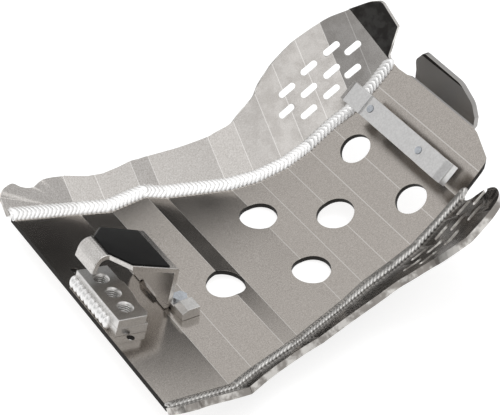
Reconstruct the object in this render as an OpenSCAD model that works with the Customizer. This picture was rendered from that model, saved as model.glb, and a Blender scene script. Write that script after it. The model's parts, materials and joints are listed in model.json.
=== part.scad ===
// Motorcycle skid plate: a belly pan folded from sheet, two folded side wings
// welded along its edges, a drilled rear block, a hooked strap and a front clamp
// bar. X is forward, Y is to the left, Z is up. It stands on its belly folds.

/* [Sheet] */
// Thickness of the pan
sheet = 4; // [3:0.5:5]
// Thickness of both wings
wing_t = 5; // [4:0.5:6]
// Half width of the pan at its rear edge
rear_half_w = 117.5; // [108:0.5:128]
// Half width of the pan at its front edge
front_half_w = 66.5; // [60:0.5:72]
// Widest groove between the pan's edge and a wing's inner face, filled by the weld
root_gap = 3; // [2:0.1:4]

/* [Holes in the pan] */
// Diameter of the four large lightening holes
hole_d = 30; // [22:1:32]
// Diameter of the two front lightening holes
front_hole_d = 26; // [20:1:28]
// Distance of a paired lightening hole from the middle
hole_side = 37; // [32:1:42]
// Distance of the single offset hole from the middle
offset_hole_side = 20; // [16:1:26]
// Diameter of the drain holes beside the rear block
drain_d = 6; // [4:0.5:8]
// Distance of a drain hole from the middle
drain_side = 42; // [41.8:0.1:46]

/* [Wings] */
// Angle of a wing above the horizontal, across the plate
wing_lean = 43; // [36:1:50]
// Height of a wing up its slope at the rear
wing_rear_h = 27; // [22:1:32]
// Height of a wing up its slope at its front shoulder
wing_front_h = 74.5; // [66:0.5:78]
// Length of a wing slot
slot_l = 16; // [12:0.5:18]
// Width of a wing slot
slot_w = 5.5; // [4:0.5:7]
// Tilt of the slots, up towards the front
slot_tilt = 20; // [0:1:25]
// Angle by which the left wing's front lobe is folded inwards
lobe_fold = 18; // [10:1:35]

/* [Front lip] */
// Height of the lip above its fold
lip_h = 30; // [24:1:36]
// Half width of the lip at its fold
lip_half_w = 38; // [30:1:42]
// Slope of the lip
lip_slope = 92; // [80:1:100]

/* [Welds] */
// Leg of the fillet weld on the pan
weld_leg = 3; // [1.5:0.1:4]
// Leg of the fillet weld on the wing
wing_leg = 5; // [4:0.5:7]
// Height of the bead over its straight chord
weld_crown = 1.6; // [0.8:0.1:2.4]
// Length of one ripple of a bead
ripple = 5; // [4:0.5:8]

/* [Rear block] */
// Width of the block, front to rear
block_w = 26; // [24:1:30]
// Length of the block, side to side
block_l = 63; // [60:1:70]
// Thickness of the lower plate, welded to the pan
base_t = 7; // [5:0.5:9]
// Thickness of the upper plate
plate_t = 7.5; // [6:0.5:10]
// Distance from the pan's rear edge to the block
block_setback = 3.5; // [3:0.5:5]
// Offset of the block's middle to the right
block_shift = 7; // [5:0.5:8]
// Diameter of the three tapped bores, at the thread's crest
bore_d = 10.5; // [8:0.5:11]
// Spacing of the tapped bores
bore_pitch = 18; // [16:0.5:19]
// Width of the chamfer at the mouth of a bore
bore_chamfer = 1.2; // [0.5:0.1:1.6]

/* [Hook strap] */
// Thickness of the strap
strap_t = 4; // [3:0.5:5]
// Width of the strap's wide front part
strap_w = 50; // [46:1:54]
// Width of the strap's narrow hook
hook_w = 25; // [20:1:30]
// Offset of the strap's middle to the left
strap_shift = 4; // [2:0.5:5]
// Thickness of the rubber pad on the strap
pad_t = 1.2; // [0.8:0.1:2]
// Margin of bare strap round the pad
pad_margin = 1.5; // [1:0.5:4]

/* [Foot clamp] */
// Length of the foot clamp, front to rear
foot_l = 15; // [13:1:18]
// Height of the foot clamp's solid end
foot_h = 8.5; // [7:0.5:10]
// Thickness of the ledge under the foot screw
ledge_t = 4.5; // [3:0.5:6]

/* [Front clamp bar] */
// Width of the bar along the pan
bar_w = 17.5; // [14:0.5:20]
// Thickness of the bar between its claws
bar_t = 5; // [4:0.5:7]
// Length of the bar over both claws
bar_l = 128; // [122:1:132]
// Length of one claw
claw_l = 27; // [24:1:29]
// Diameter of the frame tube that a claw holds down
tube_d = 24; // [20:1:26]
// Distance of a clamp bolt from the middle
bolt_side = 31; // [26:0.5:32]
// Diameter of the clamp bolts and the foot screw
bolt_d = 6; // [5:0.5:6.5]

/* [Hidden] */
$fn = 64;
fit = 0.05;      // radial clearance of a bolt in its hole

// Folds of the pan from rear to front: length of each flat and its slope
folds = [[56, -14.5], [23.5, -4], [30, 9], [15.5, -11.5], [50, -2], [23, 8.5],
    [25, 12.5], [23, 21.5], [26, 34], [24.5, 31.5], [25, 44.5], [24, 46]];
// Share of the rear width that is left at each fold, as the pan narrows
taper = [1, 0.92, 0.765, 0.705, 0.59, 0.275, 0.147, 0.098, 0.098, 0.078, 0.02, 0, 0];
// Share of the widest groove that is open at each fold, on the left and on the right
left_open = [1, 1, 1, 1, 1, 0.85, 0.65, 0.5, 0.35, 0.3, 0.3, 0.3, 0.3];
right_open = [0.2, 0.2, 0.2, 0.2, 0.2, 0.3, 0.9, 1, 0.6, 0.25, 0.2, 0.2, 0.2];
last = len(folds);

function along(a) = [cos(a), sin(a)];
function up(a) = [-sin(a), cos(a)];
function fold(i) = i == 0 ? [0, 0] : fold(i - 1) + folds[i - 1][0] * along(folds[i - 1][1]);
fold_at = [for (i = [0:last]) fold(i)];
half_at = [for (k = taper) front_half_w + (rear_half_w - front_half_w) * k];

// A line moved sideways by t, with mitred corners
function side(p, q) = let (d = (q - p) / norm(q - p)) [-d[1], d[0]];
function moved(line, t) = let (n = len(line) - 1) [for (i = [0:n])
    let (a = side(line[max(i - 1, 0)], line[max(i, 1)]), b = side(line[min(i, n - 1)], line[min(i + 1, n)]))
    line[i] + t * (a + b) / (1 + a * b)];
function backwards(line) = [for (i = [len(line) - 1:-1:0]) line[i]];
function strip(line, t) = concat(line, backwards(moved(line, -t)));

// A corner line with each inner corner rounded to its radius
function corner(a, b, c, r) = let (u = (a - b) / norm(a - b), v = (c - b) / norm(c - b), half = acos(u * v) / 2,
    m = b + (u + v) / norm(u + v) * r / sin(half), s = b + u * r / tan(half), e = b + v * r / tan(half),
    a0 = atan2(s[1] - m[1], s[0] - m[0]), a1 = atan2(e[1] - m[1], e[0] - m[0]),
    turn = a1 - a0 > 180 ? a1 - a0 - 360 : a1 - a0 < -180 ? a1 - a0 + 360 : a1 - a0, steps = 6)
    [for (k = [0:steps]) m + r * along(a0 + turn * k / steps)];
function rounded(line, radii) = [for (i = [0:len(line) - 1])
    each (i == 0 || i == len(line) - 1 || radii[i] == 0) ? [line[i]]
    : corner(line[i - 1], line[i], line[i + 1], radii[i])];

// A smooth curve through hand-set points
function curve_at(a, b, c, d, t) = ((2 * b) + (c - a) * t + (2 * a - 5 * b + 4 * c - d) * t * t
    + (3 * b - a - 3 * c + d) * t * t * t) / 2;
function smooth(line, steps) = let (n = len(line) - 1) concat([for (i = [0:n - 1], k = [0:steps - 1])
    curve_at(line[max(i - 1, 0)], line[i], line[i + 1], line[min(i + 2, n)], k / steps)], [line[n]]);

// Place and half width of the pan's edge at a station u, a fold number with its fraction
function leg(u) = min(max(floor(u), 0), last - 1);
function pan_at(u) = fold_at[leg(u)] + (u - leg(u)) * (fold_at[leg(u) + 1] - fold_at[leg(u)]);
function edge_at(u) = half_at[leg(u)] + (u - leg(u)) * (half_at[leg(u) + 1] - half_at[leg(u)]);

// The wing's own frame: X forward, then up the wing, then out of its inner face.
// Each side is named by its list of open grooves.
function root_at(open, u) = edge_at(u) + root_gap * (open[leg(u)] + (u - leg(u)) * (open[leg(u) + 1] - open[leg(u)]));
function rise_at(open, u) = root_at(open, u) * cos(wing_lean) + pan_at(u)[1] * sin(wing_lean);
function face_at(open, u) = pan_at(u)[1] * cos(wing_lean) - root_at(open, u) * sin(wing_lean);
function turn_at(open, u) = let (i = leg(u))
    atan2(face_at(open, i + 1) - face_at(open, i), fold_at[i + 1][0] - fold_at[i][0]);
function wing_point(open, p) = [pan_at(p[0])[0], rise_at(open, p[0]) + p[1]];

// Wing outlines as stations and heights up the slope, from the rear corner to the front
step_h = wing_front_h - wing_rear_h;
rear_u = -0.03;
rear_line = [[rear_u, 0.52], [-0.01, 0.62], [0.06, 0.8], [0.17, 0.92], [0.24, 0.93], [0.31, 0.83],
    [0.41, 0.77], [0.51, 0.79], [0.6, 0.9], [0.69, 0.99], [0.84, 1.03], [1.04, 1.04]];
rise_line = [[1.04, 0.03], [2.65, -0.03], [4.2, 0.13], [5.06, 0.32], [5.87, 0.43], [6.35, 0.56],
    [6.9, 0.69], [7.35, 0.85], [8, 0.99]];
left_line = [[8, 0.99], [8.6, 1.02], [9.3, 1.02], [10.17, 0.965], [11.2, 0.71]];
right_line = [[8, 0.99], [8.6, 1.01], [9.2, 0.97], [9.6, 0.85], [9.95, 0.6], [10.12, 0.35], [10.08, 0.1],
    [9.97, 0], [9.85, -0.08], [9.8, -0.2], [9.88, -0.35], [9.95, -0.5]];
left_end_u = 11.85;
right_end_u = 10.05;
lobe_foot = [11.85, 4];
lobe_top = [11.2, wing_rear_h + 0.71 * step_h];
// Slots in three rows: the station of each one's middle and its height up the wing
slot_rows = [[[8.53, 21.5], [9.48, 22], [10.43, 22.5]],
    [[7.86, 34.5], [8.8, 35], [9.75, 35.5], [10.75, 36]], [[8.13, 48], [9.08, 49.5], [10.03, 50.5]]];
right_slot_shift = -0.96;

// Rear block, on the pan's first flat
block_mid = -block_shift;
block_h = base_t + plate_t;
block_weld_h = 10;
block_weld_leg = 3;
// Strap, on the pan's second flat: outer side from the hook's tip to the foot
strap_line = [[-55.2, 46], [-49.3, 62], [10.8, 35.7], [4.2, 0]];
strap_radii = [0, 9, 3, 0];
flare_x = [-41, -29];
arch_h = 5;
arch_w = 28;
pad_end_x = 3;
// Foot clamp beside the strap's right foot
foot_x = 5.4;
foot_y = [-36.5, -13];
foot_step_y = -24;
foot_chamfer = [4.5, 2.5];
foot_screw_x = foot_x + foot_l - 6.5;
foot_screw_y = -18.6;
hex_af = 10;
hex_h = 4;
// Front clamp bar, over the pan's eleventh flat
bar_s = 9.2;
bar_top = tube_d + bar_t - 0.5;
claw_rise = 1.5;
claw_drop = 5;
claw_round = 3;
tube_clear = 0.3;
washer_t = 1.6;
washer_d = 12;
head_d = 10.5;
head_h = 3.3;

// Where the whole part stands: belly folds on the ground, middle of its length at X 0
under = moved(fold_at, -sheet);
ground = -min([for (p = under) p[1]]);
lobe_turn = turn_at(left_open, last - 1);
lobe_step = wing_point(left_open, lobe_top) - wing_point(left_open, lobe_foot);
lobe_run = [lobe_step[0] / cos(lobe_turn), lobe_step[1]];
lobe_angle = atan2(lobe_run[1], lobe_run[0]);
lobe_l = norm(lobe_run);
lobe_outline = rounded([[lobe_l + 0.4, 0], [45, 16.5], [38.5, 25.7], [14.5, 22.8], [2, 1.5], [-1, 0]],
    [0, 25, 6, 1.5, 0, 0]);
function lobe_x(p) = pan_at(lobe_foot[0])[0] + p[0] * cos(lobe_angle) * cos(lobe_turn)
    + p[1] * (sin(lobe_angle) * cos(lobe_fold) * cos(lobe_turn) - sin(lobe_fold) * sin(lobe_turn));
lobe_back_x = sin(lobe_fold) * sin(lobe_angle) * cos(lobe_turn) + cos(lobe_fold) * sin(lobe_turn);
front_x = max([for (p = lobe_outline) lobe_x(p)]) + wing_t * lobe_back_x;
rear_x = pan_at(rear_u)[0];
mid_x = (front_x + rear_x) / 2;

module placed() { translate([-mid_x, 0, ground]) children(); }

// A frame on one flat of the pan: x up its slope from its rear fold, z out of it
module on_flat(i) {
    placed() translate([fold_at[i][0], 0, fold_at[i][1]]) rotate([0, -folds[i][1], 0]) children();
}

module across(w) { rotate([90, 0, 0]) linear_extrude(w, center = true) children(); }

// Belly pan: the folded section cut to its plan outline, with the lip folded up at the front
module pan_section() {
    polygon(strip(concat(fold_at, [fold_at[last] + 2 * lip_h * along(lip_slope)]), sheet));
}

module pan_plan() {
    front = fold_at[last][0];
    inner = front_half_w;
    sides = [for (i = [0:last - 1]) [fold_at[i][0], half_at[i]]];
    left_front = [[front - 1, inner], [front - 1.9, inner - 9], [front - 1.4, lip_half_w + 8],
        [front - 0.2, lip_half_w + 3.5], [front, lip_half_w - 1]];
    right_front = [[front - 0.5, -lip_half_w + 3], [front - 1.5, -lip_half_w - 4.5],
        [front - 8.5, -inner + 2.5],
        [front - 11, -inner + 0.6], [front - 14, -inner]];
    rear = [[-2 * sheet, -half_at[0]], [-2 * sheet, half_at[0]]];
    polygon(concat(rear, sides, left_front, right_front,
        [for (i = [last - 2:-1:0]) [fold_at[i][0], -half_at[i]]]));
}

module fold_hole(i, y, d) {
    translate([fold_at[i][0], y, fold_at[i][1]]) rotate([0, -(folds[i - 1][1] + folds[i][1]) / 2, 0])
        cylinder(h = 6 * sheet, d = d, center = true);
}

module lip_outline() {
    top_w = lip_half_w - 9;
    polygon(rounded([[lip_half_w, -8], [lip_half_w, 2], [lip_half_w - 0.5, 8], [lip_half_w + 1, 17], [top_w, lip_h - 1],
        [-lip_half_w * 0.43, lip_h - 2.5], [-lip_half_w * 0.84, lip_h * 0.6], [-lip_half_w + 1.5, 7],
        [-lip_half_w + 2, 0], [-lip_half_w + 2, -8]], [0, 0, 6, 7, 6, 14, 12, 0, 0, 0]));
}

module belly_pan() {
    color([0.66, 0.64, 0.62]) difference() {
        placed() difference() {
            intersection() {
                across(3 * rear_half_w) pan_section();
                union() {
                    translate([0, 0, -60]) linear_extrude(fold_at[last][1] + 61) pan_plan();
                    translate([fold_at[last][0] - 8, 0, fold_at[last][1]]) rotate([90, 0, 90])
                        linear_extrude(22) lip_outline();
                }
            }
            fold_hole(3, -offset_hole_side, hole_d);
            fold_hole(5, -hole_side, hole_d);
            fold_hole(5, hole_side, hole_d);
            fold_hole(7, 0, hole_d);
            fold_hole(9, -hole_side, front_hole_d);
            fold_hole(9, hole_side, front_hole_d);
        }
        on_flat(0) for (s = [-1, 1]) translate([block_setback + block_w / 2 - 2, s * drain_side, 0])
            cylinder(h = 4 * sheet, d = drain_d, center = true);
        on_flat(10) for (s = [-1, 1]) translate([bar_s, s * bolt_side, 0])
            cylinder(h = 4 * sheet, d = bolt_d + 2 * fit, center = true);
    }
}

// Wings: a folded sheet swept straight up the wing, cut to its outline and slotted
module wing_sheet(open) {
    line = concat([[pan_at(-0.3)[0], face_at(open, -0.3)]], [for (i = [0:last]) [fold_at[i][0], face_at(open, i)]],
        [[pan_at(last + 1)[0], face_at(open, last + 1)]]);
    top = max([for (i = [0:last]) rise_at(open, i)]) + wing_front_h + 20;
    translate([0, top, 0]) rotate([90, 0, 0]) linear_extrude(2 * top) polygon(strip(line, wing_t));
}

function heights(line) = [for (p = line) [p[0], wing_rear_h + step_h * p[1]]];
function wing_outline(open, front_line, end_u) = [for (p = concat(
    [[end_u, 0]], [for (i = [leg(end_u):-1:1]) [i, 0]], [[rear_u, 0]],
    smooth([for (p = rear_line) [p[0], wing_rear_h * p[1]]], 3),
    smooth(heights(rise_line), 4), smooth(heights(front_line), 4))) wing_point(open, p)];

module slots(open, shift) {
    for (row = slot_rows, p = row) {
        u = p[0] + shift;
        place = wing_point(open, [u, p[1]]);
        translate([place[0], place[1], face_at(open, u)]) rotate([0, -turn_at(open, u), slot_tilt]) {
            cube([slot_l - slot_w, slot_w, 4 * wing_t], center = true);
            for (s = [-1, 1]) translate([s * (slot_l - slot_w) / 2, 0, 0])
                cylinder(h = 4 * wing_t, d = slot_w, center = true, $fn = 24);
        }
    }
}

module cut_wing(open, front_line, end_u, shift) {
    difference() {
        intersection() {
            wing_sheet(open);
            translate([0, 0, -200]) linear_extrude(400) polygon(wing_outline(open, front_line, end_u));
        }
        slots(open, shift);
    }
}

module lobe_frame() {
    p = wing_point(left_open, lobe_foot);
    translate([p[0], p[1], face_at(left_open, lobe_foot[0])]) rotate([0, -lobe_turn, 0])
        rotate([0, 0, lobe_angle]) children();
}

module left_wing() {
    past = concat(left_line, [[11.7, 0.6], [12.2, -0.4], [12.2, -0.55]]);
    color([0.72, 0.70, 0.68]) placed() rotate([wing_lean, 0, 0]) {
        difference() {
            cut_wing(left_open, past, left_end_u, 0);
            lobe_frame() translate([-40, -90, -60]) cube([140, 90, 120]);
        }
        lobe_frame() {
            rotate([-lobe_fold, 0, 0]) translate([0, 0, -wing_t]) linear_extrude(wing_t)
                polygon([for (p = lobe_outline) [p[0], -p[1]]]);
            rotate([0, 90, 0]) rotate([0, 0, -lobe_fold - 1]) rotate_extrude(angle = lobe_fold + 2)
                square([wing_t, lobe_l]);
        }
    }
}

module right_wing() {
    color([0.60, 0.58, 0.57]) placed() mirror([0, 1, 0]) rotate([wing_lean, 0, 0])
        cut_wing(right_open, right_line, right_end_u, right_slot_shift);
}

// Welds: a fillet with a rippled crown, swept along the pan's edge
function weld_ring(open, u, crown) =
    let (x = pan_at(u)[0], z = pan_at(u)[1], e = edge_at(u), d = along(wing_lean), n = up(wing_lean),
        root = [root_at(open, u), z], foot = [e - weld_leg, z], head = root + wing_leg * d,
        chord = head - foot, out = [-chord[1], chord[0]] / norm(chord))
    [for (p = concat([for (k = [0:4]) foot + chord * k / 4 + out * crown * (1 - pow(k / 2 - 1, 2))],
        [root, root - 0.9 * wing_t * n, [e, z - 0.9 * sheet], [e, z]])) [x, p[0], p[1]]];

function weld_steps(end_u) = [for (i = [0:last - 1]) let (n = round(folds[i][0] / ripple))
    for (k = [0:n - 1], part = [0, 0.7]) if (i + (k + part) / n < end_u - 0.05)
    [i + (k + part) / n, weld_crown * (part == 0 ? 0.55 : 1.1)]];

module swept(rings) {
    n = len(rings[0]);
    m = len(rings);
    polyhedron([for (r = rings) each r], concat([[for (j = [0:n - 1]) j]],
        [for (i = [0:m - 2], j = [0:n - 1], half = [0, 1]) let (a = i * n + j, b = i * n + (j + 1) % n)
        half == 0 ? [a, a + n, b] : [b, a + n, b + n]],
        [[for (j = [n - 1:-1:0]) (m - 1) * n + j]]));
}

module edge_weld(open, end_u) {
    swept([for (s = concat(weld_steps(end_u), [[end_u, weld_crown * 0.3]])) weld_ring(open, s[0], s[1])]);
}

module left_weld() { color([0.92, 0.91, 0.90]) placed() edge_weld(left_open, left_end_u - 0.05); }

module right_weld() {
    color([0.75, 0.74, 0.73]) placed() mirror([0, 1, 0]) edge_weld(right_open, right_end_u + 0.15);
}

// Rear block: a lower plate welded to the pan and a drilled upper plate on it
module block_bores() {
    for (k = [-1:1]) translate([block_setback + block_w / 2, block_mid + k * bore_pitch, 0]) {
        translate([0, 0, -1]) cylinder(h = block_h + 2, d = bore_d);
        translate([0, 0, block_h - bore_chamfer])
            cylinder(h = bore_chamfer + 1, d1 = bore_d, d2 = bore_d + 2 * bore_chamfer + 2);
    }
}

module block_base() {
    color([0.70, 0.68, 0.66]) on_flat(0) difference() {
        translate([block_setback, block_mid - block_l / 2, 0]) cube([block_w, block_l, base_t]);
        block_bores();
    }
}

module block_plate() {
    rear = block_setback;
    front = block_setback + block_w;
    right = block_mid - block_l / 2;
    left = block_mid + block_l / 2;
    outline = [[rear, right], [front - 2.5, right], [front, right + 4], [front - 0.8, right + 15],
        [front - 0.2, right + 18], [front + 1.2, right + 28], [front + 1.7, right + 41], [front, right + 44],
        [front, left], [rear, left]];
    color([0.64, 0.63, 0.61]) on_flat(0) difference() {
        translate([0, 0, base_t]) linear_extrude(plate_t) polygon(outline);
        block_bores();
    }
}

module block_weld() {
    n = 10;
    span = 0.84 * block_l;
    left = block_mid + block_l / 2;
    function ring(y, k) = [for (p = [[0, 0], [-block_weld_leg * k, 0], [-block_weld_leg * 0.93 * k, 0.35 * block_weld_h],
        [-block_weld_leg * 0.6 * k, 0.75 * block_weld_h], [-0.2, block_weld_h], [0, block_weld_h]])
        [block_setback + p[0], y, p[1]]];
    color([0.92, 0.91, 0.90]) on_flat(0)
        swept(concat([for (k = [0:n - 1], part = [0, 0.65])
            ring(left - span * (k + part) / n, part == 0 ? 0.72 : 1.05)], [ring(left - span, 0.4)]));
}

// Hook strap: a folded strip with a narrow hook, a flared top and two feet
module strap_plan(margin) {
    wide = strap_w / 2 - margin;
    slim = hook_w / 2 - margin;
    polygon([[-70, -slim], [flare_x[0] + margin / 2, -slim], [flare_x[1] + margin / 2, -wide], [40, -wide],
        [40, wide], [flare_x[1] + margin / 2, wide], [flare_x[0] + margin / 2, slim], [-70, slim]]);
}

module hook_strap() {
    outer = rounded(strap_line, strap_radii);
    inner = rounded(moved(strap_line, -strap_t), [for (r = strap_radii) max(r - strap_t, 0)]);
    color([0.70, 0.68, 0.66]) on_flat(1) translate([0, strap_shift, 0]) difference() {
        intersection() {
            across(2 * strap_w) polygon(concat(outer, backwards(inner)));
            translate([0, 0, -10]) linear_extrude(100) strap_plan(0);
        }
        translate([-10, 0, -10]) cube([60, 200, 20], center = true);
        rotate([90, 0, 90]) linear_extrude(40, center = true) {
            polygon([[-arch_w / 2, -1], [-arch_w / 2 + 5, arch_h - 1], [-3, arch_h - 0.4], [3, arch_h],
                [arch_w / 2 - 4, arch_h - 0.6], [arch_w / 2, -1]]);
            for (s = [-1, 1]) polygon([[s * (strap_w / 2 + 1), 9], [s * (strap_w / 2 - 2.5), -1], [s * (strap_w / 2 + 1), -1]]);
        }
    }
}

module strap_pad() {
    a = strap_line[1];
    b = strap_line[2];
    tilt = atan2(b[1] - a[1], b[0] - a[0]);
    color([0.07, 0.07, 0.07]) on_flat(1) translate([0, strap_shift, 0]) intersection() {
        translate([a[0], 0, a[1]]) rotate([0, -tilt, 0]) translate([strap_radii[1], -strap_w / 2, 0])
            cube([norm(b - a), strap_w, pad_t]);
        translate([0, 0, 0]) linear_extrude(100) intersection() {
            strap_plan(pad_margin);
            translate([-100, -strap_w]) square([100 + pad_end_x, 2 * strap_w]);
        }
    }
}

// Foot clamp: a stepped block beside the strap's foot, held by a hexagon screw
module foot_clamp() {
    color([0.70, 0.69, 0.67]) on_flat(1) difference() {
        union() {
            translate([0, foot_step_y, 0]) rotate([90, 0, 0]) linear_extrude(foot_step_y - foot_y[0])
                polygon([[foot_x, 0], [foot_x + foot_l, 0], [foot_x + foot_l, foot_h], [foot_x + foot_chamfer[0], foot_h],
                [foot_x, foot_h - foot_chamfer[1]]]);
            translate([foot_x, foot_step_y - 1, 0]) cube([foot_l, foot_y[1] - foot_step_y + 1, ledge_t]);
        }
        translate([foot_screw_x, foot_screw_y, -1]) cylinder(h = 20, d = bolt_d + 2 * fit);
    }
}

module foot_screw() {
    color([0.75, 0.77, 0.78]) on_flat(1) translate([foot_screw_x, foot_screw_y, 0]) {
        cylinder(h = ledge_t, d = bolt_d);
        translate([0, 0, ledge_t]) cylinder(h = hex_h, d = hex_af / cos(30), $fn = 6);
    }
}

// Front clamp bar: a flat bar with a claw at each end, on two bolts through the pan
module bar_half() {
    inner = bar_l / 2 - claw_l;
    tube_y = inner + claw_l / 2;
    top = bar_top + claw_rise;
    difference() {
        polygon(rounded([[0, bar_top - bar_t], [inner, bar_top - bar_t], [inner, tube_d - claw_drop],
            [bar_l / 2, tube_d - claw_drop], [bar_l / 2, top - claw_round], [bar_l / 2 - claw_round * 2, top],
            [inner, top], [inner, bar_top], [0, bar_top]], [0, 0, 0, 1, 2, 4, 0, 0, 0]));
        translate([tube_y, tube_d / 2]) circle(d = tube_d + 2 * tube_clear);
    }
}

module clamp_bar() {
    color([0.74, 0.74, 0.74]) on_flat(10) difference() {
        translate([bar_s - bar_w / 2, 0, 0]) rotate([90, 0, 90]) linear_extrude(bar_w) {
            bar_half();
            mirror([1, 0]) bar_half();
        }
        for (s = [-1, 1]) translate([bar_s, s * bolt_side, 0]) cylinder(h = 60, d = bolt_d + 2 * fit);
    }
}

module clamp_bolts() {
    color([0.72, 0.76, 0.80]) on_flat(10) for (s = [-1, 1]) translate([bar_s, s * bolt_side, -sheet - washer_t]) {
        cylinder(h = sheet + washer_t + bar_top + 0.6, d = bolt_d);
        translate([0, 0, -head_h]) cylinder(h = head_h, d1 = head_d * 0.72, d2 = head_d);
    }
}

module clamp_washers() {
    color([0.75, 0.77, 0.78]) on_flat(10) for (s = [-1, 1]) translate([bar_s, s * bolt_side, -sheet - washer_t])
        difference() {
            cylinder(h = washer_t, d = washer_d);
            translate([0, 0, -1]) cylinder(h = washer_t + 2, d = bolt_d + 2 * fit);
        }
}

belly_pan();
left_wing();
right_wing();
left_weld();
right_weld();
block_base();
block_plate();
block_weld();
hook_strap();
strap_pad();
foot_clamp();
foot_screw();
clamp_bar();
clamp_bolts();
clamp_washers();
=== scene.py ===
import json
from math import cos, radians, sin

import bpy
from mathutils import Matrix, Vector

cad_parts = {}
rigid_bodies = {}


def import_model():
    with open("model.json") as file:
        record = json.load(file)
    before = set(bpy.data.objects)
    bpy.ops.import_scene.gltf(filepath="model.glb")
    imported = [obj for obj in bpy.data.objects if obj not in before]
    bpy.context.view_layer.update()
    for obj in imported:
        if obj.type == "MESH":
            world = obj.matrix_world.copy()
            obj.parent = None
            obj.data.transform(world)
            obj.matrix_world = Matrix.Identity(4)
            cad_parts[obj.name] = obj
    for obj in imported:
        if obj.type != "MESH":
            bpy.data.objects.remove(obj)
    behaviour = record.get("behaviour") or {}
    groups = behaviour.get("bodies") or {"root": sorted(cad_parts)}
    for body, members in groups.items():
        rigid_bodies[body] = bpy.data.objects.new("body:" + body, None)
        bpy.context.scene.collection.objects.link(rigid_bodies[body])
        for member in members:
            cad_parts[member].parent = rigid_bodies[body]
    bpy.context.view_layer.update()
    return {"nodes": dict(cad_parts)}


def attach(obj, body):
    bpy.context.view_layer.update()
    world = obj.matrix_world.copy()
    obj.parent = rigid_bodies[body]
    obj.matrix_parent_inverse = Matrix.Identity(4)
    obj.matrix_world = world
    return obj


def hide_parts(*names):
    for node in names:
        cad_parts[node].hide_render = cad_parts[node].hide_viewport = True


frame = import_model()
nodes = frame["nodes"]


# Camera
# A long lens looks down on the plate from behind and to its right. Nothing in
# the view is out of focus.
def aim_camera():
    data = bpy.data.cameras.new("camera")
    camera = bpy.data.objects.new("camera", data)
    bpy.context.scene.collection.objects.link(camera)
    back = -Vector((0.427, 0.648, -0.631)).normalized()
    up = Vector((0.326, 0.541, 0.776)).normalized()
    right = up.cross(back).normalized()
    up = back.cross(right)
    camera.matrix_world = Matrix((
        (right.x, up.x, back.x, -0.5687),
        (right.y, up.y, back.y, -0.8273),
        (right.z, up.z, back.z, 0.8583),
        (0, 0, 0, 1)))
    data.sensor_width = 36
    data.lens = 124
    data.clip_start = 0.05
    data.clip_end = 50
    bpy.context.scene.camera = camera


aim_camera()


# Studio
# A soft pale sky over a white floor. The studio is dark low down behind the
# plate and beyond its far side, and the polished sheet mirrors that as bands.
def node_math(tree, operation, *values):
    made = tree.nodes.new("ShaderNodeMath")
    made.operation = operation
    for socket, value in zip(made.inputs, values):
        if isinstance(value, bpy.types.NodeSocket):
            tree.links.new(value, socket)
        else:
            socket.default_value = value
    return made.outputs[0]


def node_range(tree, value, low, high, start, end):
    made = tree.nodes.new("ShaderNodeMapRange")
    made.interpolation_type = "SMOOTHSTEP"
    tree.links.new(value, made.inputs["Value"])
    made.inputs["From Min"].default_value = low
    made.inputs["From Max"].default_value = high
    made.inputs["To Min"].default_value = start
    made.inputs["To Max"].default_value = end
    return made.outputs["Result"]


def node_dot(tree, vector, axis):
    made = tree.nodes.new("ShaderNodeVectorMath")
    made.operation = "DOT_PRODUCT"
    tree.links.new(vector, made.inputs[0])
    made.inputs[1].default_value = axis
    return made.outputs["Value"]


def build_sky():
    world = bpy.data.worlds.new("studio")
    bpy.context.scene.world = world
    world.use_nodes = True
    tree = world.node_tree
    coord = tree.nodes.new("ShaderNodeTexCoord")
    toward = coord.outputs["Generated"]
    behind = node_range(tree, node_dot(tree, toward, (-0.951, -0.255, 0.174)), 0.8, 0.95, 1.0, 0.07)
    level = node_math(tree, "MULTIPLY", behind, 0.88)
    tree.nodes["Background"].inputs["Color"].default_value = (1, 1, 1, 1)
    tree.links.new(level, tree.nodes["Background"].inputs["Strength"])
    bpy.context.scene.view_settings.view_transform = "Standard"


def build_floor():
    bpy.ops.object.select_all(action="DESELECT")
    bpy.ops.mesh.primitive_plane_add(size=6, location=(0, 0, -0.0005))
    floor = bpy.context.object
    floor.name = "floor"
    bpy.ops.object.transform_apply(location=True, rotation=True, scale=True)
    paper = bpy.data.materials.new("floor_paper")
    paper.use_nodes = True
    tree = paper.node_tree
    tree.nodes.clear()
    out = tree.nodes.new("ShaderNodeOutputMaterial")
    path = tree.nodes.new("ShaderNodeLightPath")
    plain = tree.nodes.new("ShaderNodeBsdfDiffuse")
    plain.inputs["Color"].default_value = (0.7, 0.7, 0.7, 1)
    shaded = tree.nodes.new("ShaderNodeBsdfDiffuse")
    shaded.inputs["Color"].default_value = (0.42, 0.42, 0.42, 1)
    lift = tree.nodes.new("ShaderNodeEmission")
    lift.inputs["Strength"].default_value = 0.75
    seen = tree.nodes.new("ShaderNodeAddShader")
    tree.links.new(shaded.outputs[0], seen.inputs[0])
    tree.links.new(lift.outputs[0], seen.inputs[1])
    mirrored = node_math(tree, "MAXIMUM",
        path.outputs["Is Glossy Ray"], path.outputs["Is Transmission Ray"])
    looked_at = node_math(tree, "MAXIMUM", path.outputs["Is Camera Ray"], mirrored)
    choose = tree.nodes.new("ShaderNodeMixShader")
    tree.links.new(looked_at, choose.inputs["Fac"])
    tree.links.new(plain.outputs[0], choose.inputs[1])
    tree.links.new(seen.outputs[0], choose.inputs[2])
    tree.links.new(choose.outputs[0], out.inputs["Surface"])
    floor.data.materials.append(paper)


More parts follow.
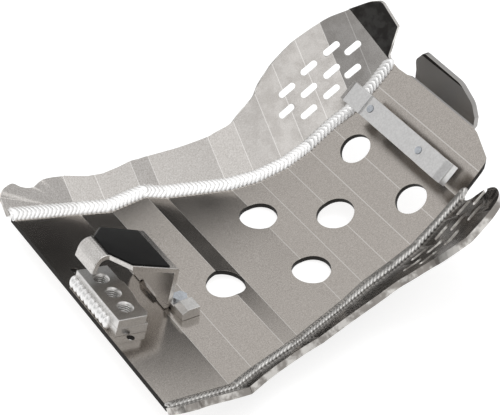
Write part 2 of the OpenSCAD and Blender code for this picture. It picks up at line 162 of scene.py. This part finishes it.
def hang_card():
    bpy.ops.object.select_all(action="DESELECT")
    bpy.ops.mesh.primitive_plane_add(size=1, location=(0.42, 0.45, 0.22),
        rotation=(radians(90), 0, 0))
    card = bpy.context.object
    card.name = "dark_card"
    card.scale = (1.1, 0.44, 1)
    bpy.ops.object.transform_apply(location=True, rotation=True, scale=True)
    cloth = bpy.data.materials.new("card_cloth")
    cloth.use_nodes = True
    tree = cloth.node_tree
    tree.nodes.clear()
    out = tree.nodes.new("ShaderNodeOutputMaterial")
    coord = tree.nodes.new("ShaderNodeTexCoord")
    split = tree.nodes.new("ShaderNodeSeparateXYZ")
    tree.links.new(coord.outputs["Object"], split.inputs[0])
    top = node_range(tree, split.outputs["Z"], 0.36, 0.42, 0.0, 1.0)
    right = node_range(tree, split.outputs["X"], 0.4, 0.62, 0.0, 0.8)
    left = node_range(tree, split.outputs["X"], -0.1, 0.0, 1.0, 0.0)
    open_share = node_math(tree, "MAXIMUM", node_math(tree, "MAXIMUM", top, right), left)
    black = tree.nodes.new("ShaderNodeEmission")
    black.inputs["Color"].default_value = (0.045, 0.045, 0.045, 1)
    clear = tree.nodes.new("ShaderNodeBsdfTransparent")
    mix = tree.nodes.new("ShaderNodeMixShader")
    tree.links.new(open_share, mix.inputs["Fac"])
    tree.links.new(black.outputs[0], mix.inputs[1])
    tree.links.new(clear.outputs[0], mix.inputs[2])
    tree.links.new(mix.outputs[0], out.inputs["Surface"])
    card.data.materials.append(cloth)
    card.visible_camera = False
    card.visible_diffuse = False
    card.visible_shadow = False


def add_lamp(name, size_x, size_y, place, target, watts):
    data = bpy.data.lights.new(name, "AREA")
    data.shape = "RECTANGLE"
    data.size = size_x
    data.size_y = size_y
    data.energy = watts
    lamp = bpy.data.objects.new(name, data)
    bpy.context.scene.collection.objects.link(lamp)
    lamp.location = place
    lamp.rotation_euler = (Vector(target) - Vector(place)).to_track_quat("-Z", "Y").to_euler()


build_sky()
build_floor()
hang_card()
add_lamp("lamp_over", 1.0, 0.8, (0.1, 0.1, 1.5), (0, 0, 0), 3.6)
add_lamp("lamp_rear", 0.9, 0.7, (-0.35, -0.95, 1.15), (0.05, 0.1, 0.05), 1.1)


# Belly pan
# One sheet of aluminium, folded across again and again and cut by laser. Its
# face is half polished. Its rough cut edges and hole walls are painted near black
# as shade, the lip's face is painted darker as shade, and pale highlights are
# painted along the folds.
folds = [(56, -14.5), (23.5, -4), (30, 9), (15.5, -11.5), (50, -2), (23, 8.5),
    (25, 12.5), (23, 21.5), (26, 34), (24.5, 31.5), (25, 44.5), (24, 46)]
middle_x = 163.56
ground = 19.81


def fold_point(i):
    x = -middle_x
    z = ground
    for length, slope in folds[:i]:
        x += length * cos(radians(slope))
        z += length * sin(radians(slope))
    return Vector((x, 0, z)) / 1000


def flat_frame(i):
    return Matrix.Translation(fold_point(i)) @ Matrix.Rotation(radians(-folds[i][1]), 4, "Y")


def new_group(name, inputs, outputs):
    group = bpy.data.node_groups.new(name, "ShaderNodeTree")
    for label, kind in inputs:
        group.interface.new_socket(label, in_out="INPUT", socket_type="NodeSocket" + kind)
    for label, kind in outputs:
        group.interface.new_socket(label, in_out="OUTPUT", socket_type="NodeSocket" + kind)
    return group, group.nodes.new("NodeGroupInput"), group.nodes.new("NodeGroupOutput")


def node_blend(tree, share, first, second):
    made = tree.nodes.new("ShaderNodeMix")
    made.data_type = "RGBA"
    sockets = (made.inputs[0], made.inputs[6], made.inputs[7])
    for socket, value in zip(sockets, (share, first, second)):
        if isinstance(value, bpy.types.NodeSocket):
            tree.links.new(value, socket)
        elif isinstance(value, tuple):
            socket.default_value = (*value, 1)
        else:
            socket.default_value = value
    return made.outputs[2]


def noise(tree, scale, detail):
    coord = tree.nodes.new("ShaderNodeTexCoord")
    made = tree.nodes.new("ShaderNodeTexNoise")
    made.inputs["Detail"].default_value = detail
    made.inputs["Roughness"].default_value = 0.6
    if isinstance(scale, bpy.types.NodeSocket):
        tree.links.new(scale, made.inputs["Scale"])
    else:
        made.inputs["Scale"].default_value = scale
    tree.links.new(coord.outputs["Object"], made.inputs["Vector"])
    return made.outputs["Fac"]


def make_grain():
    group, take, give = new_group("metal_grain",
        [("Scale", "Float"), ("Mottle", "Float"), ("Dark", "Color"), ("Light", "Color")],
        [("Color", "Color"), ("Rough Shift", "Float"), ("Height", "Float")])
    speck = noise(group, take.outputs["Scale"], 3)
    cloud = noise(group, 70, 4)
    patch = noise(group, 16, 2)
    fine = node_range(group, speck, 0.3, 0.7, 0.0, 1.0)
    rough_patch = node_range(group, cloud, 0.38, 0.62, 0.0, 1.0)
    apart = node_math(group, "SUBTRACT", rough_patch, fine)
    turned = node_math(group, "MULTIPLY", apart, take.outputs["Mottle"])
    share = node_math(group, "ADD", fine, turned)
    color = node_blend(group, share, take.outputs["Dark"], take.outputs["Light"])
    group.links.new(color, give.inputs["Color"])
    shift = node_math(group, "MULTIPLY_ADD", patch, 0.16, -0.08)
    group.links.new(shift, give.inputs["Rough Shift"])
    group.links.new(speck, give.inputs["Height"])
    return group


def make_cut_edge():
    group, take, give = new_group("cut_edge",
        [("Across", "Vector"), ("Limit", "Float")], [("Mask", "Float")])
    shape = group.nodes.new("ShaderNodeNewGeometry")
    dot = group.nodes.new("ShaderNodeVectorMath")
    dot.operation = "DOT_PRODUCT"
    group.links.new(shape.outputs["Normal"], dot.inputs[0])
    group.links.new(take.outputs["Across"], dot.inputs[1])
    steep = node_math(group, "ABSOLUTE", dot.outputs["Value"])
    mask = node_math(group, "LESS_THAN", steep, take.outputs["Limit"])
    group.links.new(mask, give.inputs["Mask"])
    return group


def make_fold_lines():
    group, take, give = new_group("fold_lines", [("Width", "Float")], [("Mask", "Float")])
    coord = group.nodes.new("ShaderNodeTexCoord")
    split = group.nodes.new("ShaderNodeSeparateXYZ")
    group.links.new(coord.outputs["Object"], split.inputs[0])
    mask = None
    for i in range(1, len(folds)):
        near = node_math(group, "COMPARE",
            split.outputs["X"], fold_point(i).x, take.outputs["Width"])
        mask = near if mask is None else node_math(group, "MAXIMUM", mask, near)
    group.links.new(mask, give.inputs["Mask"])
    return group


metal_grain = make_grain()
cut_edge = make_cut_edge()
fold_lines = make_fold_lines()


def use_group(tree, group, values):
    made = tree.nodes.new("ShaderNodeGroup")
    made.node_tree = group
    for label, value in values.items():
        if isinstance(value, bpy.types.NodeSocket):
            tree.links.new(value, made.inputs[label])
        else:
            made.inputs[label].default_value = value
    return made


def metal(name, dark, light, rough, scale, bump, mottle=0.0, metallic=1.0):
    made = bpy.data.materials.new(name)
    made.use_nodes = True
    tree = made.node_tree
    shader = tree.nodes["Principled BSDF"]
    shader.inputs["Metallic"].default_value = metallic
    grain = use_group(tree, metal_grain,
        {"Scale": scale, "Mottle": mottle, "Dark": (*dark, 1), "Light": (*light, 1)})
    relief = tree.nodes.new("ShaderNodeBump")
    relief.inputs["Strength"].default_value = bump
    relief.inputs["Distance"].default_value = 0.0002
    tree.links.new(grain.outputs["Color"], shader.inputs["Base Color"])
    roughness = node_math(tree, "ADD", grain.outputs["Rough Shift"], rough)
    tree.links.new(roughness, shader.inputs["Roughness"])
    tree.links.new(grain.outputs["Height"], relief.inputs["Height"])
    tree.links.new(relief.outputs["Normal"], shader.inputs["Normal"])
    return made


# Where the mask is 1, the colour and the roughness of a metal give way to others
def overlay(material, mask, color, rough=None):
    tree = material.node_tree
    shader = tree.nodes["Principled BSDF"]
    before = shader.inputs["Base Color"].links[0].from_socket
    tree.links.new(node_blend(tree, mask, before, color), shader.inputs["Base Color"])
    if rough is not None:
        before = shader.inputs["Roughness"].links[0].from_socket
        difference = node_math(tree, "SUBTRACT", rough, before)
        after = node_math(tree, "MULTIPLY_ADD", difference, mask, before)
        tree.links.new(after, shader.inputs["Roughness"])


def place_of(material):
    tree = material.node_tree
    coord = tree.nodes.new("ShaderNodeTexCoord")
    split = tree.nodes.new("ShaderNodeSeparateXYZ")
    tree.links.new(coord.outputs["Object"], split.inputs[0])
    return split.outputs


def dress(node, material):
    nodes[node].data.materials.clear()
    nodes[node].data.materials.append(material)


# The sharp edges of a cut or milled piece are broken by a narrow bevel
def break_edges(node, width, steps=1):
    piece = nodes[node]
    join = piece.modifiers.new("join", "WELD")
    join.merge_threshold = 0.000002
    flat = piece.modifiers.new("flat", "DECIMATE")
    flat.decimate_type = "DISSOLVE"
    flat.angle_limit = radians(0.5)
    bevel = piece.modifiers.new("bevel", "BEVEL")
    bevel.width = width
    bevel.segments = steps
    bevel.limit_method = "ANGLE"
    bevel.angle_limit = radians(50)


pan_metal = metal("pan_sheet", (0.38, 0.35, 0.32), (0.52, 0.485, 0.45), 0.17, 1100, 0.06)
pan_tree = pan_metal.node_tree
pan_edge_painted_shade = use_group(pan_tree, cut_edge, {"Across": (0, 0, 1), "Limit": 0.64}).outputs["Mask"]
pan_place = place_of(pan_metal)
before_lip = node_math(pan_tree, "LESS_THAN", pan_place["X"], 0.1535)
# Pale highlights are painted along the folds, where the bends catch the light
pan_fold_highlight = use_group(pan_tree, fold_lines, {"Width": 0.0003}).outputs["Mask"]
overlay(pan_metal, node_math(pan_tree, "MULTIPLY", pan_fold_highlight, 0.6), (0.75, 0.73, 0.7))
# The lip's face is painted darker and flatter than the rest of the sheet, as painted shade
lip_painted_shade = node_math(pan_tree, "SUBTRACT", 1.0, before_lip)
overlay(pan_metal, lip_painted_shade, (0.36, 0.35, 0.34), 0.3)
# The cut edges and hole walls before the lip are painted near black, as painted shade
overlay(pan_metal, node_math(pan_tree, "MULTIPLY", pan_edge_painted_shade, before_lip), (0.03, 0.028, 0.026), 0.6)
dress("belly_pan", pan_metal)
break_edges("belly_pan", 0.0003)

# Side wings
# Each wing is a folded sheet of the same aluminium, cut by laser to a wavy
# outline with three rows of slots, and handled until its front is mottled.
left_metal = metal("left_wing_sheet", (0.39, 0.37, 0.35), (0.53, 0.51, 0.49), 0.24, 1000, 0.08)
left_tree = left_metal.node_tree
left_place = place_of(left_metal)
toward_front = node_range(left_tree, left_place["X"], 0.02, 0.06, 0.0, 0.55)
left_tree.links.new(toward_front, left_tree.nodes["Group"].inputs["Mottle"])
# Pale highlights are painted along the folds, where the bends catch the light
left_fold_highlight = use_group(left_tree, fold_lines, {"Width": 0.0003}).outputs["Mask"]
overlay(left_metal, node_math(left_tree, "MULTIPLY", left_fold_highlight, 0.5), (0.8, 0.78, 0.76))
# The cut edges are painted in bright and dark patches, a painted sheen for the light they catch
left_edge_painted_sheen = use_group(left_tree, cut_edge,
    {"Across": (0, -0.682, 0.731), "Limit": 0.62}).outputs["Mask"]
edge_painted_sheen_patch = node_range(left_tree, noise(left_tree, 90, 3), 0.4, 0.6, 0.0, 1.0)
edge_painted_sheen_color = node_blend(left_tree, edge_painted_sheen_patch, (0.3, 0.28, 0.26), (0.78, 0.76, 0.73))
overlay(left_metal, left_edge_painted_sheen, edge_painted_sheen_color, 0.4)
# The front lobe alone faces this way; it is painted near black, a painted reflection of the dark
# part of the studio
off_lobe = use_group(left_tree, cut_edge,
    {"Across": (-0.81, -0.45, 0.37), "Limit": 0.985}).outputs["Mask"]
lobe_painted_reflection = node_math(left_tree, "SUBTRACT", 1.0, off_lobe)
overlay(left_metal, node_math(left_tree, "MULTIPLY", lobe_painted_reflection, 0.85), (0.06, 0.058, 0.056), 0.3)
dress("left_wing", left_metal)
break_edges("left_wing", 0.0003)

# The right wing is the same aluminium as the left one, painted much darker as shade for the dark it
# mirrors
right_shaded_metal = metal("right_wing_painted_shade", (0.12, 0.11, 0.1), (0.25, 0.23, 0.21), 0.2, 1000, 0.08)
right_tree = right_shaded_metal.node_tree
right_place = place_of(right_shaded_metal)
toward_front = node_range(right_tree, right_place["X"], 0.0, 0.05, 0.0, 0.9)
right_tree.links.new(toward_front, right_tree.nodes["Group"].inputs["Mottle"])
# Pale highlights are painted along the folds, where the bends catch the light
right_fold_highlight = use_group(right_tree, fold_lines, {"Width": 0.0003}).outputs["Mask"]
overlay(right_shaded_metal, node_math(right_tree, "MULTIPLY", right_fold_highlight, 0.5), (0.6, 0.58, 0.56))
# The cut edges are painted in bright and dark patches, a painted sheen for the light they catch
right_edge_painted_sheen = use_group(right_tree, cut_edge,
    {"Across": (0, 0.682, 0.731), "Limit": 0.62}).outputs["Mask"]
edge_painted_sheen_patch = node_range(right_tree, noise(right_tree, 90, 3), 0.4, 0.6, 0.0, 1.0)
edge_painted_sheen_color = node_blend(right_tree, edge_painted_sheen_patch, (0.3, 0.28, 0.26), (0.66, 0.64, 0.61))
overlay(right_shaded_metal, right_edge_painted_sheen, edge_painted_sheen_color, 0.4)
dress("right_wing", right_shaded_metal)
break_edges("right_wing", 0.0003)

# Edge welds
# A hand-laid aluminium bead joins each wing to the pan. Every dip of the rod
# left one bright ripple, drawn to a point at the front and over the one before.
half_widths = [117.5 * k + 66.5 * (1 - k)
    for k in (1, 0.92, 0.765, 0.705, 0.59, 0.275, 0.147, 0.098, 0.098, 0.078, 0.02, 0, 0)]
left_gaps = [3, 3, 3, 3, 3, 2.55, 1.95, 1.5, 1.05, 0.9, 0.9, 0.9, 0.9]
right_gaps = [0.6, 0.6, 0.6, 0.6, 0.6, 0.9, 2.7, 3, 1.8, 0.75, 0.6, 0.6, 0.6]
lean = radians(43)


def between(values, u):
    i = min(int(u), len(values) - 2)
    return values[i] + (values[i + 1] - values[i]) * (u - i)


def bead_place(gaps, side, u):
    i = min(int(u), len(folds) - 1)
    on_pan = fold_point(i).lerp(fold_point(i + 1), u - i)
    half = between(half_widths, u) / 1000
    gap = between(gaps, u) / 1000
    foot = Vector((on_pan.x, side * (half - 0.003), on_pan.z))
    head = Vector((on_pan.x, side * (half + gap + 0.005 * cos(lean)), on_pan.z + 0.005 * sin(lean)))
    return foot, head


def bead_frames(gaps, side, end_u, pitch):
    frames = []
    for i in range(len(folds)):
        stop = min(i + 1, end_u)
        if stop <= i:
            break
        start_foot, start_head = bead_place(gaps, side, i)
        end_foot, end_head = bead_place(gaps, side, stop - 0.0001)
        start = (start_foot + start_head) / 2
        end = (end_foot + end_head) / 2
        count = max(1, round((end - start).length / pitch))
        travel = (end - start).normalized()
        for k in range(count):
            share = (k + 0.5) / count
            foot = start_foot.lerp(end_foot, share)
            head = start_head.lerp(end_head, share)
            chord = head - foot
            out = travel.cross(chord) * side
            out.normalize()
            across = out.cross(travel)
            width = chord.length / 2 + 0.00105 + side * 0.00065
            center = (foot + head) / 2
            turn = Matrix((travel, across, out)).transposed().to_4x4()
            size = Matrix.Diagonal((0.0041, width, 0.0024, 1))
            frames.append(Matrix.Translation(center) @ turn @ size)
    return frames


def shape_ripple():
    bpy.ops.object.select_all(action="DESELECT")
    bpy.ops.mesh.primitive_uv_sphere_add(segments=14, ring_count=8, radius=1)
    ripple = bpy.context.object
    bpy.ops.object.mode_set(mode="EDIT")
    bpy.ops.mesh.select_all(action="DESELECT")
    bpy.ops.object.mode_set(mode="OBJECT")
    for reach, push in ((0.75, 0.34), (0.45, 0.36), (0.15, 0.24)):
        for vertex in ripple.data.vertices:
            vertex.select = abs(vertex.co.y) < reach
        bpy.ops.object.mode_set(mode="EDIT")
        bpy.ops.transform.translate(value=(push, 0, 0))
        bpy.ops.mesh.select_all(action="DESELECT")
        bpy.ops.object.mode_set(mode="OBJECT")
    bpy.ops.object.shade_smooth()
    return ripple


def lay_copies(master, name, places):
    copies = []
    for place in places:
        copy = master.copy()
        copy.data = master.data.copy()
        bpy.context.scene.collection.objects.link(copy)
        copy.matrix_world = place
        copies.append(copy)
    bpy.data.objects.remove(master)
    bpy.ops.object.select_all(action="DESELECT")
    for copy in copies:
        copy.select_set(True)
    bpy.context.view_layer.objects.active = copies[0]
    bpy.ops.object.join()
    bpy.ops.object.transform_apply(location=True, rotation=True, scale=True)
    laid = bpy.context.object
    laid.name = name
    return laid


weld_metal = metal("weld_bead", (0.9, 0.895, 0.89), (0.98, 0.975, 0.97), 0.5, 700, 0.08, 0.1)
# The right bead is the same aluminium as the left one, painted darker as shade
right_weld_shaded_metal = metal("right_weld_painted_shade",
    (0.36, 0.35, 0.34), (0.62, 0.61, 0.59), 0.32, 600, 0.12, 0.4)
ripple_pitch = 0.0035
dress("left_weld", weld_metal)
dress("right_weld", right_weld_shaded_metal)
for side, gaps, end_u, bead_metal in (
        (1, left_gaps, 11.75, weld_metal),
        (-1, right_gaps, 10.15, right_weld_shaded_metal)):
    label = "left" if side > 0 else "right"
    places = bead_frames(gaps, side, end_u, ripple_pitch)
    ripples = lay_copies(shape_ripple(), label + "_bead_ripples", places)
    ripples.data.materials.clear()
    ripples.data.materials.append(bead_metal)
    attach(ripples, "root")


# Rear block
# Two milled aluminium plates, the lower one welded to the pan. Three bores are
# tapped through both, with wide chamfered mouths.
block_metal = metal("milled_block", (0.58, 0.57, 0.555), (0.74, 0.73, 0.715), 0.3, 800, 0.12, 0.3)
dress("block_base", block_metal)
dress("block_plate", block_metal)
break_edges("block_base", 0.0005, 2)
break_edges("block_plate", 0.0005, 2)
bpy.ops.object.select_all(action="DESELECT")
bpy.ops.mesh.primitive_torus_add(major_radius=0.0052, minor_radius=0.00042, major_segments=28,
    minor_segments=6, rotation=(radians(2.6), 0, 0))
thread_turn = bpy.context.object
bpy.ops.object.transform_apply(location=True, rotation=True, scale=True)
bpy.ops.object.mode_set(mode="EDIT")
bpy.ops.mesh.select_all(action="SELECT")
bpy.ops.transform.resize(value=(1, 1, 1.15))
bpy.ops.mesh.select_all(action="DESELECT")
bpy.ops.object.mode_set(mode="OBJECT")
bpy.ops.object.shade_smooth()
bore_pitch = 0.018
thread_pitch = 0.00175
thread_places = []
for bore in (-1, 0, 1):
    for turn in range(7):
        lift = Matrix.Translation(
            (0.0165, -0.007 + bore * bore_pitch, 0.0015 + turn * thread_pitch))
        thread_places.append(flat_frame(0) @ lift)
threads = lay_copies(thread_turn, "bore_threads", thread_places)
thread_metal = metal("cut_thread", (0.62, 0.61, 0.6), (0.9, 0.89, 0.88), 0.2, 500, 0.05)
threads.data.materials.clear()
threads.data.materials.append(thread_metal)
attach(threads, "root")

# Block weld
# A short, heavy bead holds the block's rear side to the pan. Its big ripples
# are stacked like coins and stop before the block's corner.
bpy.ops.object.select_all(action="DESELECT")
bpy.ops.mesh.primitive_uv_sphere_add(segments=20, ring_count=12, radius=1)
coin = bpy.context.object
for vertex in coin.data.vertices:
    vertex.select = vertex.co.y > 0.55
bpy.ops.object.mode_set(mode="EDIT")
bpy.ops.transform.resize(value=(0.8, 0.8, 0.8))
bpy.ops.mesh.select_all(action="DESELECT")
bpy.ops.object.mode_set(mode="OBJECT")
bpy.ops.object.shade_smooth()
coin_pitch = 0.0055
coin_places = []
for k in range(10):
    spot = Matrix.Translation((0.0031, 0.0232 - k * coin_pitch, 0.0046))
    tilt = Matrix.Rotation(radians(30), 4, "Z") @ Matrix.Rotation(radians(-14), 4, "Y")
    coin_places.append(flat_frame(0) @ spot @ tilt @ Matrix.Diagonal((0.005, 0.0044, 0.0074, 1)))
block_bead = lay_copies(coin, "block_bead", coin_places)
block_bead.data.materials.clear()
block_bead.data.materials.append(weld_metal)
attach(block_bead, "root")
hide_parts("block_weld")

# Hook strap and its cover
# The strap is a thick folded strip of aluminium whose narrow end is rolled to a
# hook. A thin sheet of black rubber is glued on its top.
strap_metal = metal("folded_strap", (0.5, 0.48, 0.46), (0.68, 0.66, 0.64), 0.26, 900, 0.1, 0.2)
dress("hook_strap", strap_metal)
break_edges("hook_strap", 0.0004, 2)
bpy.ops.object.select_all(action="DESELECT")
cover = nodes["strap_pad"].copy()
cover.data = nodes["strap_pad"].data.copy()
cover.name = "strap_cover"
bpy.context.scene.collection.objects.link(cover)
cover.select_set(True)
bpy.context.view_layer.objects.active = cover
bpy.ops.object.mode_set(mode="EDIT")
bpy.ops.mesh.select_all(action="SELECT")
bpy.ops.mesh.remove_doubles(threshold=0.000002)
bpy.ops.mesh.dissolve_limited(angle_limit=radians(1))
bpy.ops.mesh.bevel(offset=0.0004, segments=3)
bpy.ops.mesh.select_all(action="DESELECT")
bpy.ops.object.mode_set(mode="OBJECT")
bpy.ops.object.shade_smooth_by_angle(angle=radians(35))
rubber = metal("cover_rubber", (0.004, 0.004, 0.004), (0.01, 0.01, 0.01), 0.5, 1600, 0.25, 0.0, 0.0)
rubber.node_tree.nodes["Principled BSDF"].inputs["Specular IOR Level"].default_value = 0.12
cover.data.materials.clear()
cover.data.materials.append(rubber)
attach(cover, "root")
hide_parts("strap_pad")

# Foot clamp and its screw
# A small milled block holds the strap's right foot down, under a plated hexagon
# screw that stands on its ledge.
dress("foot_clamp", block_metal)
break_edges("foot_clamp", 0.0004, 2)
bpy.ops.object.select_all(action="DESELECT")
bpy.ops.mesh.primitive_cylinder_add(vertices=6, radius=0.00577, depth=0.004,
    location=(0.0139, -0.0186, 0.0065), rotation=(0, 0, radians(30)))
head = bpy.context.object
for polygon in head.data.polygons:
    polygon.select = polygon.normal.z > 0.9
bpy.ops.object.mode_set(mode="EDIT")
bpy.ops.mesh.select_mode(type="FACE")
bpy.ops.mesh.inset(thickness=0.0008, depth=0.0)
bpy.ops.mesh.select_more()
bpy.ops.object.mode_set(mode="OBJECT")
for vertex in head.data.vertices:
    vertex.select = vertex.co.z > 0.0019 and vertex.co.xy.length > 0.0055
for edge in head.data.edges:
    edge.select = all(head.data.vertices[v].select for v in edge.vertices)
for polygon in head.data.polygons:
    polygon.select = False
bpy.ops.object.mode_set(mode="EDIT")
bpy.ops.mesh.select_mode(type="VERT")
bpy.ops.transform.translate(value=(0, 0, -0.0006))
bpy.ops.mesh.select_all(action="DESELECT")
bpy.ops.mesh.primitive_cylinder_add(vertices=32, radius=0.003, depth=0.0045,
    location=(0.0139, -0.0186, 0.00225))
bpy.ops.mesh.select_all(action="DESELECT")
bpy.ops.object.mode_set(mode="OBJECT")
head.name = "foot_screw_head"
head.matrix_world = flat_frame(1) @ head.matrix_world
bpy.ops.object.transform_apply(location=True, rotation=True, scale=True)
zinc = metal("zinc_plate", (0.38, 0.4, 0.43), (0.58, 0.61, 0.65), 0.18, 450, 0.1, 0.5)
head.data.materials.clear()
head.data.materials.append(zinc)
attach(head, "root")
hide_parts("foot_screw")

# Clamp bar, bolts and washers
# A milled aluminium bar with a stepped claw at each end, held down by two zinc
# plated bolts from under the pan.
bar_metal = metal("milled_bar", (0.58, 0.575, 0.57), (0.7, 0.695, 0.69), 0.33, 600, 0.12, 0.2)
dress("clamp_bar", bar_metal)
break_edges("clamp_bar", 0.0004, 2)
dress("clamp_bolts", zinc)
dress("clamp_washers", zinc)
